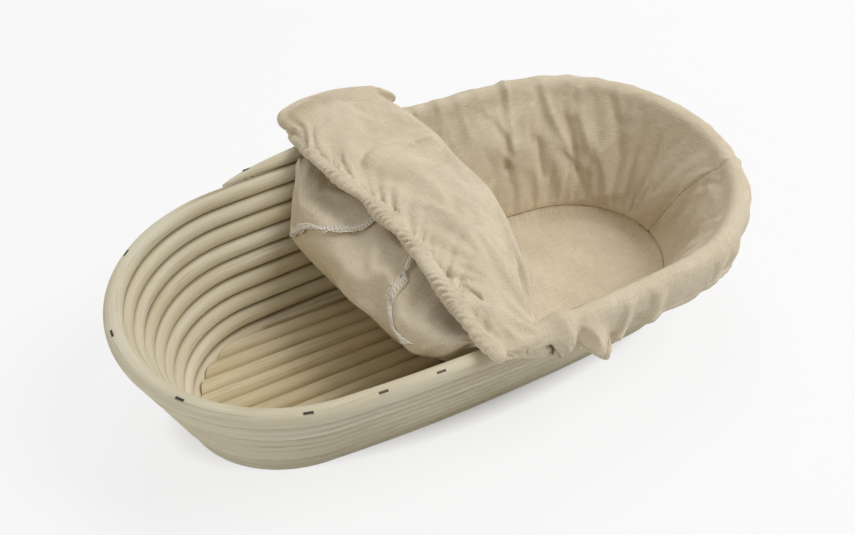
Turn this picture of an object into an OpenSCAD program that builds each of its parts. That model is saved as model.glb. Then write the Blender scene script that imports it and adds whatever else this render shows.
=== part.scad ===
// Oval proofing basket wound from one long round cane, with a floor of straight
// canes and a thin elasticated cloth liner that is folded back over one half.
// Millimetres, +Z up, +X to the lined end, origin at the middle of the base on the table.

/* [Basket] */
// Outer length over the rim cane
rim_len = 360; // [330:1:420]
// Outer width over the rim cane
rim_w = 189; // [180:1:200]
// How far the long sides bow out past the round ends
side_bow = 4; // [2:0.5:8]
// Diameter of the wound cane
cane_d = 9.1; // [8.8:0.1:9.6]
// Space left between one turn of the cane and the next, round the ends
turn_gap = 0.5; // [0.45:0.05:0.8]
// How far each turn stands outside the turn below, along the sides
turn_out = 4.4; // [4:0.1:4.8]
// How far each turn stands outside the turn below, round the steeper ends
end_out = 3.6; // [3.2:0.1:4]
// Turns between the base turn and the rim at the front
turns = 8; // [7:1:9]
// Length of the scarf that ends the cane on the rim
scarf_len = 60; // [40:5:80]

/* [Floor] */
// Space between neighbouring floor canes
floor_gap = 0.4; // [0.3:0.1:0.8]
// Space between the floor and the base turn around it
seat_gap = 0.3; // [0.2:0.1:0.6]
// Depth planed off the underside of the floor canes
floor_flat = 0.5; // [0.3:0.1:1]

/* [Staples] */
// Length of a staple's crown
staple_crown = 4.6; // [4:0.2:8]
// Width of the staple wire
staple_wire_w = 1.2; // [1:0.1:1.6]
// Thickness of the staple wire
staple_wire_t = 0.6; // [0.5:0.1:0.8]
// Length of a leg that pins one turn to the next
staple_leg = 14; // [12:0.5:16]
// Length of a leg that pins a floor cane to the base turn
floor_leg = 6; // [5:0.5:7]
// How far a crown stands proud of the cane, or is sunk into the underside of the floor
staple_proud = 0.15; // [0.1:0.05:0.25]

/* [Liner] */
// Thickness of the cloth
cloth_t = 1; // [0.8:0.1:1.4]
// Space between the cloth and the canes
cloth_gap = 0.7; // [0.6:0.1:1.2]
// How far the skirt hangs below the middle of the rim cane
skirt_drop = 19; // [16:1:24]
// Depth of the skirt's hanging folds
skirt_fold = 2.5; // [1.5:0.5:5]
// Hanging folds in each side panel's skirt
skirt_folds = 5; // [4:1:6]
// Turn of the end seam towards the front, from the long axis
seam_turn = 20; // [10:1:30]
// Diameter of the stitched hem casing
hem_d = 5.6; // [5:0.2:7]
// Diameter of the elastic cord in the hem
elastic_d = 2.8; // [2.4:0.2:3.2]
// Width of the overlocked seam allowances
allowance_w = 8; // [6:1:10]
// Space between layers of cloth that lie on each other
layer_gap = 0.3; // [0.3:0.05:0.6]

/* [Fold] */
// Where the lined half starts at the front, from the middle of the basket
lined_from_front = 16; // [14:1:40]
// Where the lined half starts at the back
lined_from_back = 44; // [43:1:60]
// Where the floor panel lifts off the floor
floor_from = 6; // [0:1:12]
// Hem of the turned-back layer at the front, from the middle of the basket
hem_front = -20; // [-26:1:-14]
// Hem of the turned-back layer at the back
hem_back = -34; // [-40:1:-28]
// Right-hand fold of the turned-back layer at the front
fold_front = 12; // [8:1:16]
// Right-hand fold of the turned-back layer at the back
fold_back = 40; // [36:1:42]
// How high the bunched cloth stands above the back rim
bunch_rise = 18; // [12:1:24]
// How far the turned-back layer swells between its hem and its fold
fold_swell = 5; // [3:0.5:7]
// How far the roll of the under layer reaches past the middle of the basket
roll_reach = 57; // [50:1:62]

/* [Hidden] */

cane_r = cane_d / 2;
cane_color = "#e9dcbd";
floor_color = "#dccaa0";
cloth_color = "#e6dabf";
elastic_color = "#f2ead8";
steel_color = "#5d5a54";
$fn = 64;

// Oval of the rim cane's middle line: two end arcs and two flat side arcs, all tangent
half_len = rim_len / 2 - cane_r;
half_w = rim_w / 2 - cane_r;
end_r = half_w - side_bow;
end_x = half_len - end_r;
side_y = (end_x * end_x - side_bow * side_bow) / (2 * side_bow);
side_r = half_w + side_y;
side_half_angle = atan(end_x / side_y);
end_sweep = 180 - 2 * side_half_angle;
end_arc = end_r * end_sweep * PI / 180;
side_arc = side_r * 2 * side_half_angle * PI / 180;

// Station s runs once round: 0-1 left end, 1-2 front, 2-3 right end, 3-4 back
function heading(s) =
    s < 1 ? 90 + side_half_angle + s * end_sweep
    : s < 2 ? 270 - side_half_angle + (s - 1) * 2 * side_half_angle
    : s < 3 ? 270 + side_half_angle + (s - 2) * end_sweep
    : 450 - side_half_angle + (s - 3) * 2 * side_half_angle;
function outward(s) = [cos(heading(s)), sin(heading(s))];
function arc_middle(s) =
    s < 1 ? [-end_x, 0] : s < 2 ? [0, side_y] : s < 3 ? [end_x, 0] : [0, -side_y];
function arc_radius(s) = (s < 1 || (s >= 2 && s < 3)) ? end_r : side_r;
function oval(s, out) = arc_middle(s) + (arc_radius(s) + out) * outward(s);
// Station on the front or back side at a given x, and at a length along the rim from the scarf
function front_station(x) = 1.5 + asin(x / side_r) / (2 * side_half_angle);
function back_station(x) = 3.5 - asin(x / side_r) / (2 * side_half_angle);
function along(len) =
    len < end_arc ? len / end_arc
    : len < end_arc + side_arc ? 1 + (len - end_arc) / side_arc
    : len < 2 * end_arc + side_arc ? 2 + (len - end_arc - side_arc) / end_arc
    : 3 + (len - 2 * end_arc - side_arc) / side_arc;

// The wall leans out: each turn is step_out wider and turn_up higher than the one below,
// and the cane climbs from one level to the next round the lined end
SIDES = 6;
end_pitch = cane_d + turn_gap;
turn_up = sqrt(end_pitch * end_pitch - end_out * end_out);
function step_out(s) = turn_out + (end_out - turn_out) * pow(cos(heading(s)), 2);
function lean(s) = atan(step_out(s) / turn_up);
base_z = cane_r * cos(180 / SIDES);
function ease(t) = let (u = min(1, max(0, t))) u * u * (3 - 2 * u);
function climb(s) = ease(s - 2);
function level_z(level) = base_z + turn_up * level;
function level_out(s, level) = step_out(s) * (level - turns);
function rim_level(s) = turns + climb(s);

// Rings along the cane, counted from the tapered start under the lined end
END_RINGS = 12;
SIDE_RINGS = 6;
LOOP = 2 * (END_RINGS + SIDE_RINGS);
FIRST_RING = 21;
last_ring = LOOP * (turns + 2) - 0.25;
function ring_station(i) =
    let (k = i - LOOP * floor(i / LOOP))
    k < END_RINGS ? k / END_RINGS
    : k < END_RINGS + SIDE_RINGS ? 1 + (k - END_RINGS) / SIDE_RINGS
    : k < 2 * END_RINGS + SIDE_RINGS ? 2 + (k - END_RINGS - SIDE_RINGS) / END_RINGS
    : 3 + (k - 2 * END_RINGS - SIDE_RINGS) / SIDE_RINGS;
function ring_level(i) = floor(i / LOOP) - 1 + climb(ring_station(i));
// Share of the cane's thickness that the scarf leaves at a ring
function scarf(i) = min(1, sqrt(max(0.015, (last_ring - i) * side_arc / SIDE_RINGS / scarf_len)));
// The start is planed flat on the table
function ring_z(i, z) =
    let (mid = level_z(ring_level(i)), low = mid - base_z, high = mid + base_z)
    low < 0 ? (z - low) * high / (high - low) : z;
// The end is planed to a point along the line where it lies on the turn below
function ring(i) =
    let (s = ring_station(i), level = ring_level(i), left = scarf(i),
         seat_out = -cane_r * sin(lean(s)), seat_z = -cane_r * cos(lean(s)))
    [for (k = [0:SIDES - 1])
        let (a = 360 * k / SIDES,
             p = oval(s, level_out(s, level) + seat_out + (cane_r * cos(a) - seat_out) * left))
        [p.x, p.y, ring_z(i, level_z(level) + seat_z + (cane_r * sin(a) - seat_z) * left)]];
// The last staple pins the scarf, this far short of its tip
scarf_staple_back = 16;
staple_ring = last_ring - scarf_staple_back * SIDE_RINGS / side_arc;
ring_list = concat([for (i = [FIRST_RING:floor(last_ring)]) i], [staple_ring, last_ring]);

// Least space between turns, measured from ring to ring along the middle of the cane
function ring_middle(i) =
    let (s = ring_station(i), level = ring_level(i), p = oval(s, level_out(s, level)))
    [p.x, p.y, level_z(level)];
middles = [for (i = ring_list) ring_middle(i)];
least_gap = min([for (i = [0:len(middles) - 1])
    for (j = [i + LOOP / 2:1:min(len(middles) - 1, i + 2 * LOOP)])
        norm(middles[i] - middles[j])]) - cane_d;
echo(least_gap_between_turns = least_gap);

// Floor canes fill the base turn from front to back, and at the lined end its tapered start
FLOOR_CANES = 9;
function floor_edge(s) = oval(s, level_out(s, s >= 2 && s < 3 ? -1 : 0) - cane_r - seat_gap);
floor_pitch = 2 * floor_edge(0).y / FLOOR_CANES;
floor_d = floor_pitch - floor_gap;
floor_z = floor_d / 2 - floor_flat;
floor_top = floor_z + floor_d / 2;
function floor_y(i) = (i - (FLOOR_CANES + 1) / 2) * floor_pitch;

// Liner heights and the rims that it lies over
cloth_floor_z = floor_top + staple_proud + layer_gap;
cloth_floor_top = cloth_floor_z + cloth_t;
seam_s = 2.5 - seam_turn / end_sweep;
front_rim_y = half_w + cane_r;
back_rim_y = half_w + turn_out + cane_r;

// Closed solids from lists of points: a sheet between two grids, and a tube from its rings
function flat_list(grid) = [for (row = grid) for (p = row) p];
module sheet(top, under) {
    rows = len(top);
    cols = len(top[0]);
    n = rows * cols;
    rim = concat([for (j = [0:cols - 2]) j],
                 [for (i = [0:rows - 2]) i * cols + cols - 1],
                 [for (j = [cols - 1:-1:1]) (rows - 1) * cols + j],
                 [for (i = [rows - 1:-1:1]) i * cols]);
    polyhedron(concat(flat_list(top), flat_list(under)), concat(
        [for (i = [0:rows - 2]) for (j = [0:cols - 2]) let (a = i * cols + j)
            each [[a, a + cols + 1, a + 1], [a, a + cols, a + cols + 1],
                  [n + a, n + a + 1, n + a + cols + 1], [n + a, n + a + cols + 1, n + a + cols]]],
        [for (k = [0:len(rim) - 1]) let (a = rim[k], b = rim[(k + 1) % len(rim)])
            each [[a, b, n + a], [b, n + b, n + a]]]));
}
module tube(rings) {
    m = len(rings[0]);
    n = len(rings);
    polyhedron(flat_list(rings), concat(
        [for (i = [0:n - 2]) for (k = [0:m - 1])
            let (a = i * m + k, b = i * m + (k + 1) % m)
            each [[a, b, b + m], [a, b + m, a + m]]],
        [for (k = [1:m - 2]) [0, k + 1, k]],
        [for (k = [1:m - 2]) let (e = (n - 1) * m) [e, e + k, e + k + 1]]));
}
module hollow_tube(outer, inner) {
    m = len(outer[0]);
    n = len(outer);
    all = n * m;
    polyhedron(concat(flat_list(outer), flat_list(inner)), concat(
        [for (i = [0:n - 2]) for (k = [0:m - 1])
            let (a = i * m + k, b = i * m + (k + 1) % m)
            each [[a, b, b + m], [a, b + m, a + m],
                  [all + a, all + b + m, all + b], [all + a, all + a + m, all + b + m]]],
        [for (k = [0:m - 1]) let (a = k, b = (k + 1) % m)
            each [[b, a, all + a], [b, all + a, all + b]]],
        [for (k = [0:m - 1]) let (a = (n - 1) * m + k, b = (n - 1) * m + (k + 1) % m)
            each [[a, b, all + b], [a, all + b, all + a]]]));
}
// Grid moved along its own normals by t
function grid_normal(g, i, j) =
    let (du = g[min(i + 1, len(g) - 1)][j] - g[max(i - 1, 0)][j],
         dv = g[i][min(j + 1, len(g[0]) - 1)] - g[i][max(j - 1, 0)],
         c = cross(du, dv))
    c / norm(c);
function lifted(g, t) =
    [for (i = [0:len(g) - 1]) [for (j = [0:len(g[0]) - 1]) g[i][j] + t * grid_normal(g, i, j)]];

// The wound wall: one unbroken cane
module wall_coil() {
    color(cane_color) tube([for (i = ring_list) ring(i)]);
}

// Region inside the base turn, with the lined end drawn in for the cane's tapered start
PLAN_STEPS = 24;
module floor_plan() {
    polygon(concat(
        [for (s = spread(2.99, 2, PLAN_STEPS)) floor_edge(s)],
        [for (s = spread(1.99, 1, PLAN_STEPS / 4)) floor_edge(s)],
        [for (s = spread(0.99, 0, PLAN_STEPS)) floor_edge(s)],
        [for (s = spread(3.99, 3, PLAN_STEPS / 4)) floor_edge(s)]));
}
module round_bar(y, d) {
    intersection() {
        translate([-rim_len / 2, y, floor_z]) rotate([0, 90, 0]) cylinder(d = d, h = rim_len);
        translate([-rim_len / 2, y - d, 0]) cube([rim_len, 2 * d, 2 * d]);
    }
}
module floor_cane(i) {
    color(floor_color) intersection() {
        round_bar(floor_y(i), floor_d);
        linear_extrude(2 * floor_d) floor_plan();
    }
}
// Split cane that fills the bow between the outer floor cane and the base turn
FILLER_STEPS = 24;
module floor_filler(side) {
    inner_y = (FLOOR_CANES * floor_pitch + floor_gap) / 2;
    outer_y = floor_edge(3.5).y;
    half_sweep = acos((inner_y + side_y) / (outer_y + side_y)) / (2 * side_half_angle);
    color(floor_color) intersection() {
        round_bar(side * (inner_y + outer_y) / 2, floor_d);
        mirror([0, side > 0 ? 0 : 1, 0]) linear_extrude(2 * floor_d)
            polygon([for (s = spread(3.5 - half_sweep, 3.5 + half_sweep, FILLER_STEPS)) floor_edge(s)]);
    }
}

// Flat-wire staple, crown along X with its underside at z = 0 and its legs down
module staple(leg) {
    translate([-staple_crown / 2, -staple_wire_w / 2, 0])
        cube([staple_crown, staple_wire_w, staple_wire_t]);
    for (x = [-staple_crown / 2, staple_crown / 2 - staple_wire_t])
        translate([x, -staple_wire_w / 2, -leg])
            cube([staple_wire_t, staple_wire_w, leg + staple_wire_t / 2]);
}
// Staple over a turn of the cane, driven down the lean of the wall
module turn_staple(s, level, drop = 0) {
    p = oval(s, level_out(s, level));
    translate([p.x, p.y, level_z(level)])
        rotate([0, 0, heading(s) + 90])
            rotate([lean(s), 0, 0])
                translate([0, 0, cane_r - drop + staple_proud - staple_wire_t])
                    staple(staple_leg);
}
// Lengths along the rim from the scarf's tip, closer together where the front is pinned
rim_staple_at = [62, 121, 178, 237, 272, 301, 368, 425, 497, 554, 625, 682, 760, 815];
rim_loop = 2 * (end_arc + side_arc);
module rim_staples() {
    scarf_s = ring_station(staple_ring);
    color(steel_color) {
        for (len = rim_staple_at) turn_staple(along(len), rim_level(along(len)));
        turn_staple(scarf_s, rim_level(scarf_s), cane_d * (1 - scarf(staple_ring)));
    }
}
WALL_STAPLES = 6;
// Alternate turns are pinned half a space along, so that no leg meets the crown below
module wall_staples() {
    space = rim_loop / (WALL_STAPLES + 1);
    color(steel_color)
        for (turn = [1:turns - 1]) for (k = [0:WALL_STAPLES - 1])
            let (s = along((k + 0.2 + (turn % 2) / 2) * space))
                turn_staple(s, turn + climb(s));
}
// Each floor cane's end is pinned to the base turn from below, apart from those short of its
// tapered start.
// The station of an end is found by halving
HELD_RIGHT = 4;
function end_station(y, high, low, halvings = 14) =
    let (mid = (high + low) / 2)
    halvings == 0 ? mid
    : floor_edge(mid).y > y ? end_station(y, mid, low, halvings - 1)
    : end_station(y, high, mid, halvings - 1);
module end_staple(s) {
    translate([floor_edge(s).x, floor_edge(s).y, staple_proud + staple_wire_t])
        rotate([180, 0, heading(s)])
            staple(floor_leg);
}
module floor_staples() {
    color(steel_color) {
        for (i = [1:FLOOR_CANES]) end_staple(end_station(floor_y(i), 0, 0.999));
        for (i = [HELD_RIGHT:FLOOR_CANES - 1]) end_staple(end_station(floor_y(i), 2.999, 2));
    }
}

// Cross-section of a side panel at a station, a distance g off the canes: up the inside of
// the wall, over the rim cane and down outside as the skirt
WALL_STEPS = 4;
RIM_STEPS = 5;
SKIRT_STEPS = 4;
function wall_out(s, z, g) =
    let (off = cane_r + g, level = (z - base_z - off * sin(lean(s))) / turn_up)
    level_out(s, level) - off * cos(lean(s));
function skirt_wave(s, w) = skirt_fold * w * (0.5 - 0.5 * cos(360 * skirt_folds * (s - seam_s)));
function panel_section(s, g, skin) =
    let (level = rim_level(s), off = cane_r + g + skin,
         top = [level_out(s, level), level_z(level)],
         low_z = cloth_floor_top + layer_gap,
         high_z = top.y + off * sin(lean(s)))
    concat(
        [for (k = [0:WALL_STEPS - 1])
            let (z = low_z + (high_z - low_z) * k / WALL_STEPS) [wall_out(s, z, g + skin), z]],
        [for (k = [0:RIM_STEPS])
            let (a = (180 - lean(s)) * (1 - k / RIM_STEPS)) top + off * [cos(a), sin(a)]],
        [for (k = [1:SKIRT_STEPS])
            let (w = k / SKIRT_STEPS)
            [top.x + off + skirt_wave(s, w), top.y - skirt_drop * w]]);
function panel_grid(stations, skin) =
    [for (s = stations)
        [for (q = panel_section(s, cloth_gap, skin)) let (p = oval(s, q.x)) [p.x, p.y, q.y]]];
function spread(a, b, n) = [for (k = [0:n]) a + (b - a) * k / n];
front_stations = spread(front_station(lined_from_front), seam_s, 12);
back_stations = spread(seam_s, back_station(lined_from_back), 18);
module side_panel(stations) {
    color(cloth_color) sheet(panel_grid(stations, cloth_t), panel_grid(stations, 0));
}
module liner_front_panel() { side_panel(front_stations); }
module liner_back_panel() { side_panel(back_stations); }

// Flat half of the oval floor panel, out to the foot of the side panels
module liner_floor() {
    color(cloth_color) translate([0, 0, cloth_floor_z]) linear_extrude(cloth_t)
        polygon([for (s = spread(front_station(floor_from), back_station(floor_from), 36))
            oval(s, wall_out(s, cloth_floor_top, cloth_gap + cloth_t))]);
}

// Hem casing below the skirt, with its elastic cord
HEM_SIDES = 6;
hem_drop = skirt_drop + hem_d / 2 + layer_gap;
function hem_circle(s, d) =
    let (level = rim_level(s),
         mid = level_out(s, level) + cane_r + cloth_gap + hem_d / 2 + skirt_wave(s, 1))
    [for (k = [0:HEM_SIDES - 1])
        let (a = 360 * k / HEM_SIDES, p = oval(s, mid + d / 2 * cos(a)))
        [p.x, p.y, level_z(level) - hem_drop + d / 2 * sin(a)]];
hem_stations = concat(front_stations, [for (k = [1:len(back_stations) - 1]) back_stations[k]]);
hem_bore = elastic_d + 2 * layer_gap;
module skirt_hem() {
    color(cloth_color)
        hollow_tube([for (s = hem_stations) hem_circle(s, hem_d)],
                    [for (s = hem_stations) hem_circle(s, hem_bore)]);
}
module skirt_elastic() {
    color(elastic_color) tube([for (s = hem_stations) hem_circle(s, elastic_d)]);
}

// Under layer of the fold: off the floor, round the left-hand roll and up to the right.
// Each entry is x as a share of the roll's reach, the share of the height from the floor cloth
// to the middle of the front rim, and how much of that height it gains at the front and back walls
under_path = [[0.28, 0, 0, 0], [-0.18, 0.03, 0.03, 0.03], [-0.5, 0.14, 0.12, 0.1], [-0.78, 0.42, 0.25, 0.2],
              [-1, 0.68, 0.3, 0.38], [-0.95, 0.78, 0.22, 0.31], [-0.77, 0.93, 0.08, 0.2],
              [-0.46, 1.06, -0.06, 0.06], [-0.04, 1.07, -0.09, 0.04]];
UNDER_ROWS = 24;
under_height = level_z(turns) - cloth_floor_top;
// Half width clear inside the leaning wall and its cloth at a place and height
function clear_half(x, z) =
    side_r * cos(asin(x / side_r)) - side_y + wall_out(1.5, z, cloth_gap + cloth_t + 2 * layer_gap);
// The roll draws back to the middle at the front, and a little at the back, where it meets the walls
front_draw = 0.5;
back_draw = 0.2;
function under_point(across, q) =
    let (front = pow(max(0, -across), 3), back = pow(max(0, across), 8),
         z = cloth_floor_top + layer_gap + under_height * (q[1] + q[2] * front + q[3] * back),
         x = roll_reach * (q[0] + max(0, -q[0]) * (front_draw * front + back_draw * back)))
    [x, across * (clear_half(x, z) - cloth_t), z];
function under_grid(rows, path) = [for (w = rows) [for (q = path) under_point(w, q)]];
module liner_fold_under() {
    grid = under_grid(spread(-1, 1, UNDER_ROWS), under_path);
    color(cloth_color) sheet(grid, lifted(grid, cloth_t));
}

// Overlocked allowances of the two floor seams, on the face of the under layer that shows
allowance_path = [for (k = [5:7]) under_path[k]];
module seam_allowance(across) {
    half = allowance_w / 2 / half_w;
    face = lifted(under_grid([across - half, across + half], allowance_path), -layer_gap);
    color(cloth_color) sheet(lifted(face, -cloth_t), face);
}
module seam_allowance_front() { seam_allowance(-0.42); }
module seam_allowance_back() { seam_allowance(0.5); }

// Turned-back layer across the basket, from outside the front rim to outside the back rim.
// Its under leaf lies on the rims, and each entry is y, z and how far the top leaf stands
// off the under leaf there
leaf_r = cane_r + cloth_gap;
leaf_space = 2 * cloth_t + hem_d / 4;
function over_rim(side, level, a, space) =
    [side * (half_w + level_out(1.5, level) + leaf_r * cos(a)), level_z(level) + leaf_r * sin(a), space];
function hang_outside(side, level, drop, space) =
    [side * (half_w + level_out(1.5, level) + leaf_r), level_z(level) - drop, space];
cross_path = [
    hang_outside(-1, turns, 11, leaf_space),
    over_rim(-1, turns, 0, leaf_space),
    over_rim(-1, turns, 50, leaf_space),
    over_rim(-1, turns, 100, leaf_space),
    [-half_w * 0.55, level_z(turns) + leaf_r + 0.5, 1.5 * leaf_space],
    [0, level_z(turns) + leaf_r + 1.5, 2 * leaf_space],
    [half_w * 0.5, level_z(turns) + leaf_r + 4, 2 * leaf_space],
    over_rim(1, turns + 1, 120, 0.6 * bunch_rise),
    over_rim(1, turns + 1, 80, bunch_rise),
    over_rim(1, turns + 1, 40, bunch_rise),
    over_rim(1, turns + 1, 0, 0.9 * bunch_rise),
    hang_outside(1, turns + 1, 11, 0.7 * bunch_rise)];
curl = 5;
function share(y) = min(1, max(0, (y + front_rim_y) / (front_rim_y + back_rim_y)));
function mixed(a, b, t) = a + (b - a) * t;
function path_normal(k) =
    let (d = cross_path[min(k + 1, len(cross_path) - 1)] - cross_path[max(k - 1, 0)])
    [-d.y, d.x] / norm([d.x, d.y]);
// Point of the layer at a place along x, a share of the space above its under leaf
function leaf_point(k, x, lift) =
    let (q = cross_path[k], n = path_normal(k)) [x, q.x + lift * n.x, q.y + lift * n.y];
function top_row(k) =
    let (t = share(cross_path[k].x), space = cross_path[k].z,
         left = mixed(hem_front, hem_back, t), right = mixed(fold_front, fold_back, t),
         swell = fold_swell * sin(180 * t))
    [leaf_point(k, right - curl, 0),
     leaf_point(k, right, space / 2),
     leaf_point(k, right - curl, space + 0.3 * swell),
     leaf_point(k, mixed(left, right, 0.55), space + swell),
     leaf_point(k, mixed(left, right, 0.28), space + 0.85 * swell),
     leaf_point(k, left + hem_d / 2 + layer_gap, space)];
top_grid = [for (k = [0:len(cross_path) - 1]) top_row(k)];
module liner_fold_top() {
    color(cloth_color) sheet(lifted(top_grid, -cloth_t), top_grid);
}

// Gathered hem along the free edge of the turned-back layer, with its elastic cord
function fold_hem_circle(k, d) =
    let (left = mixed(hem_front, hem_back, share(cross_path[k].x)), middle = cross_path[k].z - cloth_t / 2)
    [for (j = [0:HEM_SIDES - 1])
        let (a = 360 * j / HEM_SIDES) leaf_point(k, left + d / 2 * cos(a), middle + d / 2 * sin(a))];
fold_rows = [for (k = [0:len(cross_path) - 1]) k];
module fold_hem() {
    color(cloth_color)
        hollow_tube([for (k = fold_rows) fold_hem_circle(k, hem_d)],
                    [for (k = fold_rows) fold_hem_circle(k, hem_bore)]);
}
module fold_elastic() {
    color(elastic_color) tube([for (k = fold_rows) fold_hem_circle(k, elastic_d)]);
}

wall_coil();
floor_cane(1);  // floor_cane_1
floor_cane(2);  // floor_cane_2
floor_cane(3);  // floor_cane_3
floor_cane(4);  // floor_cane_4
floor_cane(5);  // floor_cane_5
floor_cane(6);  // floor_cane_6
floor_cane(7);  // floor_cane_7
floor_cane(8);  // floor_cane_8
floor_cane(9);  // floor_cane_9
floor_filler(-1);  // floor_filler_front
floor_filler(1);  // floor_filler_back
rim_staples();
wall_staples();
floor_staples();
liner_floor();
liner_front_panel();
liner_back_panel();
skirt_hem();
skirt_elastic();
liner_fold_under();
liner_fold_top();
fold_hem();
fold_elastic();
seam_allowance_front();
seam_allowance_back();
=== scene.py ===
import math

import bmesh
import bpy
import numpy as np
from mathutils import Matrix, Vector


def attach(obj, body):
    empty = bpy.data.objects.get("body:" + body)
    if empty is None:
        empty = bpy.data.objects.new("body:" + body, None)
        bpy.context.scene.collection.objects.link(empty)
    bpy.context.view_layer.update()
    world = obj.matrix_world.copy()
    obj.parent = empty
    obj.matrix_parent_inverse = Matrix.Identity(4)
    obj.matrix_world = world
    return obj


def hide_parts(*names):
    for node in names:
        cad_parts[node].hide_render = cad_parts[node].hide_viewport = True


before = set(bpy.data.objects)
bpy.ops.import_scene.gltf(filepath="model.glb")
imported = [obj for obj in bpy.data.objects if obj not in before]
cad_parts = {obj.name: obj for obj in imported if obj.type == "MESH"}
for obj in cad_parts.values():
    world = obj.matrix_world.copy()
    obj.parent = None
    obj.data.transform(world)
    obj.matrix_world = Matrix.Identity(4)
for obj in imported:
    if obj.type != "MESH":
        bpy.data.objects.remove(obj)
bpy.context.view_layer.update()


# Wall: one long round cane of peeled rattan core, wound on a slant and pinned turn to turn.
# It starts planed flat under the lined end, climbs a turn's height round that end at each
# lap, and ends in a long scarf on the back rim.
MM = 0.001
RIM_LEN, RIM_W, SIDE_BOW = 360 * MM, 189 * MM, 4 * MM
CANE_D, TURN_GAP, TURNS = 9.1 * MM, 0.5 * MM, 8
TURN_OUT, END_OUT, SCARF_LEN = 4.4 * MM, 3.6 * MM, 60 * MM

half_len, half_w = RIM_LEN / 2 - CANE_D / 2, RIM_W / 2 - CANE_D / 2
end_r = half_w - SIDE_BOW
end_x = half_len - end_r
side_y = (end_x ** 2 - SIDE_BOW ** 2) / (2 * SIDE_BOW)
side_r = half_w + side_y
side_angle = math.atan(end_x / side_y)
end_sweep = math.pi - 2 * side_angle
side_arc = side_r * 2 * side_angle
turn_up = math.sqrt((CANE_D + TURN_GAP) ** 2 - END_OUT ** 2)
base_z = CANE_D / 2 * math.cos(math.pi / 6)


def heading(s):
    """Outward direction at station s: 0-1 left end, 1-2 front, 2-3 lined end, 3-4 back."""
    return np.select(
        [s < 1, s < 2, s < 3],
        [math.pi / 2 + side_angle + s * end_sweep,
         1.5 * math.pi - side_angle + (s - 1) * 2 * side_angle,
         1.5 * math.pi + side_angle + (s - 2) * end_sweep],
        2.5 * math.pi - side_angle + (s - 3) * 2 * side_angle)


def oval(s, out):
    """Plan point at station s, a distance out from the middle of the front rim cane."""
    ends = (s < 1) | ((s >= 2) & (s < 3))
    middle_x = np.where(ends, np.where(s < 1, -end_x, end_x), 0)
    middle_y = np.where(ends, 0, np.where(s < 2, side_y, -side_y))
    radius, h = np.where(ends, end_r, side_r) + out, heading(s)
    return middle_x + radius * np.cos(h), middle_y + radius * np.sin(h)


def smooth(t):
    """0 to 1 as t goes from 0 to 1, with level ends."""
    t = np.clip(t, 0, 1)
    return t * t * (3 - 2 * t)


def step_out(s):
    """How far each turn stands out from the turn below, more along the sides than at the ends."""
    return TURN_OUT + (END_OUT - TURN_OUT) * np.cos(heading(s)) ** 2


def level_out(s, level):
    """How far the cane's middle lies out from the front rim's, at a level in turns above the base."""
    return step_out(s) * (level - TURNS)


def level_z(level):
    """Height of the cane's middle at a level."""
    return base_z + turn_up * level


def waver(x, seed, count=7):
    """Smooth wandering between about -1 and 1, the same each run."""
    draw = np.random.default_rng(seed)
    waves = sum(np.sin(x * f + p)
                for f, p in zip(draw.uniform(0.4, 2.2, count), draw.uniform(0, 7, count)))
    return waves / math.sqrt(count)


# A lap is counted in rings as in the CAD, and each ring is drawn as five
END_RINGS, SIDE_RINGS, FIRST_RING, RING_STEP, CANE_SIDES = 12, 6, 21, 0.2, 24
LOOP = 2 * (END_RINGS + SIDE_RINGS)
last_ring = LOOP * (TURNS + 2) - 0.25
along = np.append(np.arange(FIRST_RING, last_ring, RING_STEP), last_ring)
lap = along % LOOP
front_ring, lined_ring, back_ring = END_RINGS, END_RINGS + SIDE_RINGS, 2 * END_RINGS + SIDE_RINGS
station = np.select(
    [lap < front_ring, lap < lined_ring, lap < back_ring],
    [lap / END_RINGS, 1 + (lap - front_ring) / SIDE_RINGS, 2 + (lap - lined_ring) / END_RINGS],
    3 + (lap - back_ring) / SIDE_RINGS)
level = np.floor(along / LOOP) - 1 + smooth(station - 2)
on_rim = smooth((along - (last_ring - LOOP)) / 1.5)
x, y = oval(station, level_out(station, level))
run = np.concatenate([[0], np.cumsum(np.hypot(np.diff(x), np.diff(y)))])
lean = np.arctan(step_out(station) / turn_up)

# The turns touch, and the rim turn keeps its own round top, where the staples show
CANE_SHOWN_R, RIM_TOP_R = 4.95 * MM, 4.58 * MM
cane_r = CANE_SHOWN_R * (1 + 0.012 * waver(run * 40, 3))
side_drift = 0.10 * MM * waver(run * 28, 5)
turned = np.linspace(0, 2 * math.pi, CANE_SIDES + 1)
r = np.repeat(cane_r[:, None], CANE_SIDES + 1, axis=1)
upward = np.cos(turned[None, :] - (math.pi / 2 - lean[:, None]))
r -= (r - RIM_TOP_R) * on_rim[:, None] * smooth(upward + 0.5)
# The end is planed to a point along the line where it lies on the turn below
SCARF_TIP = 0.015
to_end = (last_ring - along) * side_arc / SIDE_RINGS
scarf = np.sqrt(np.clip(to_end / SCARF_LEN, SCARF_TIP, 1))[:, None]
seat_out = -CANE_SHOWN_R * np.sin(lean)[:, None]
seat_z = -CANE_SHOWN_R * np.cos(lean)[:, None]
middle = level_out(station, level)[:, None] + side_drift[:, None]
out = middle + seat_out + (r * np.cos(turned) - seat_out) * scarf
wall_x, wall_y = oval(np.repeat(station[:, None], CANE_SIDES + 1, axis=1), out)
wall_z = level_z(level)[:, None] + seat_z + (r * np.sin(turned) - seat_z) * scarf
wall_z = np.maximum(wall_z, 0)
wall_points = np.stack([wall_x, wall_y, wall_z], axis=-1)
# The grain follows the cane as if it were laid out straight
straight = np.stack([np.repeat(run[:, None], CANE_SIDES + 1, axis=1),
                     r * np.cos(turned), r * np.sin(turned)], axis=-1)

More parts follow.
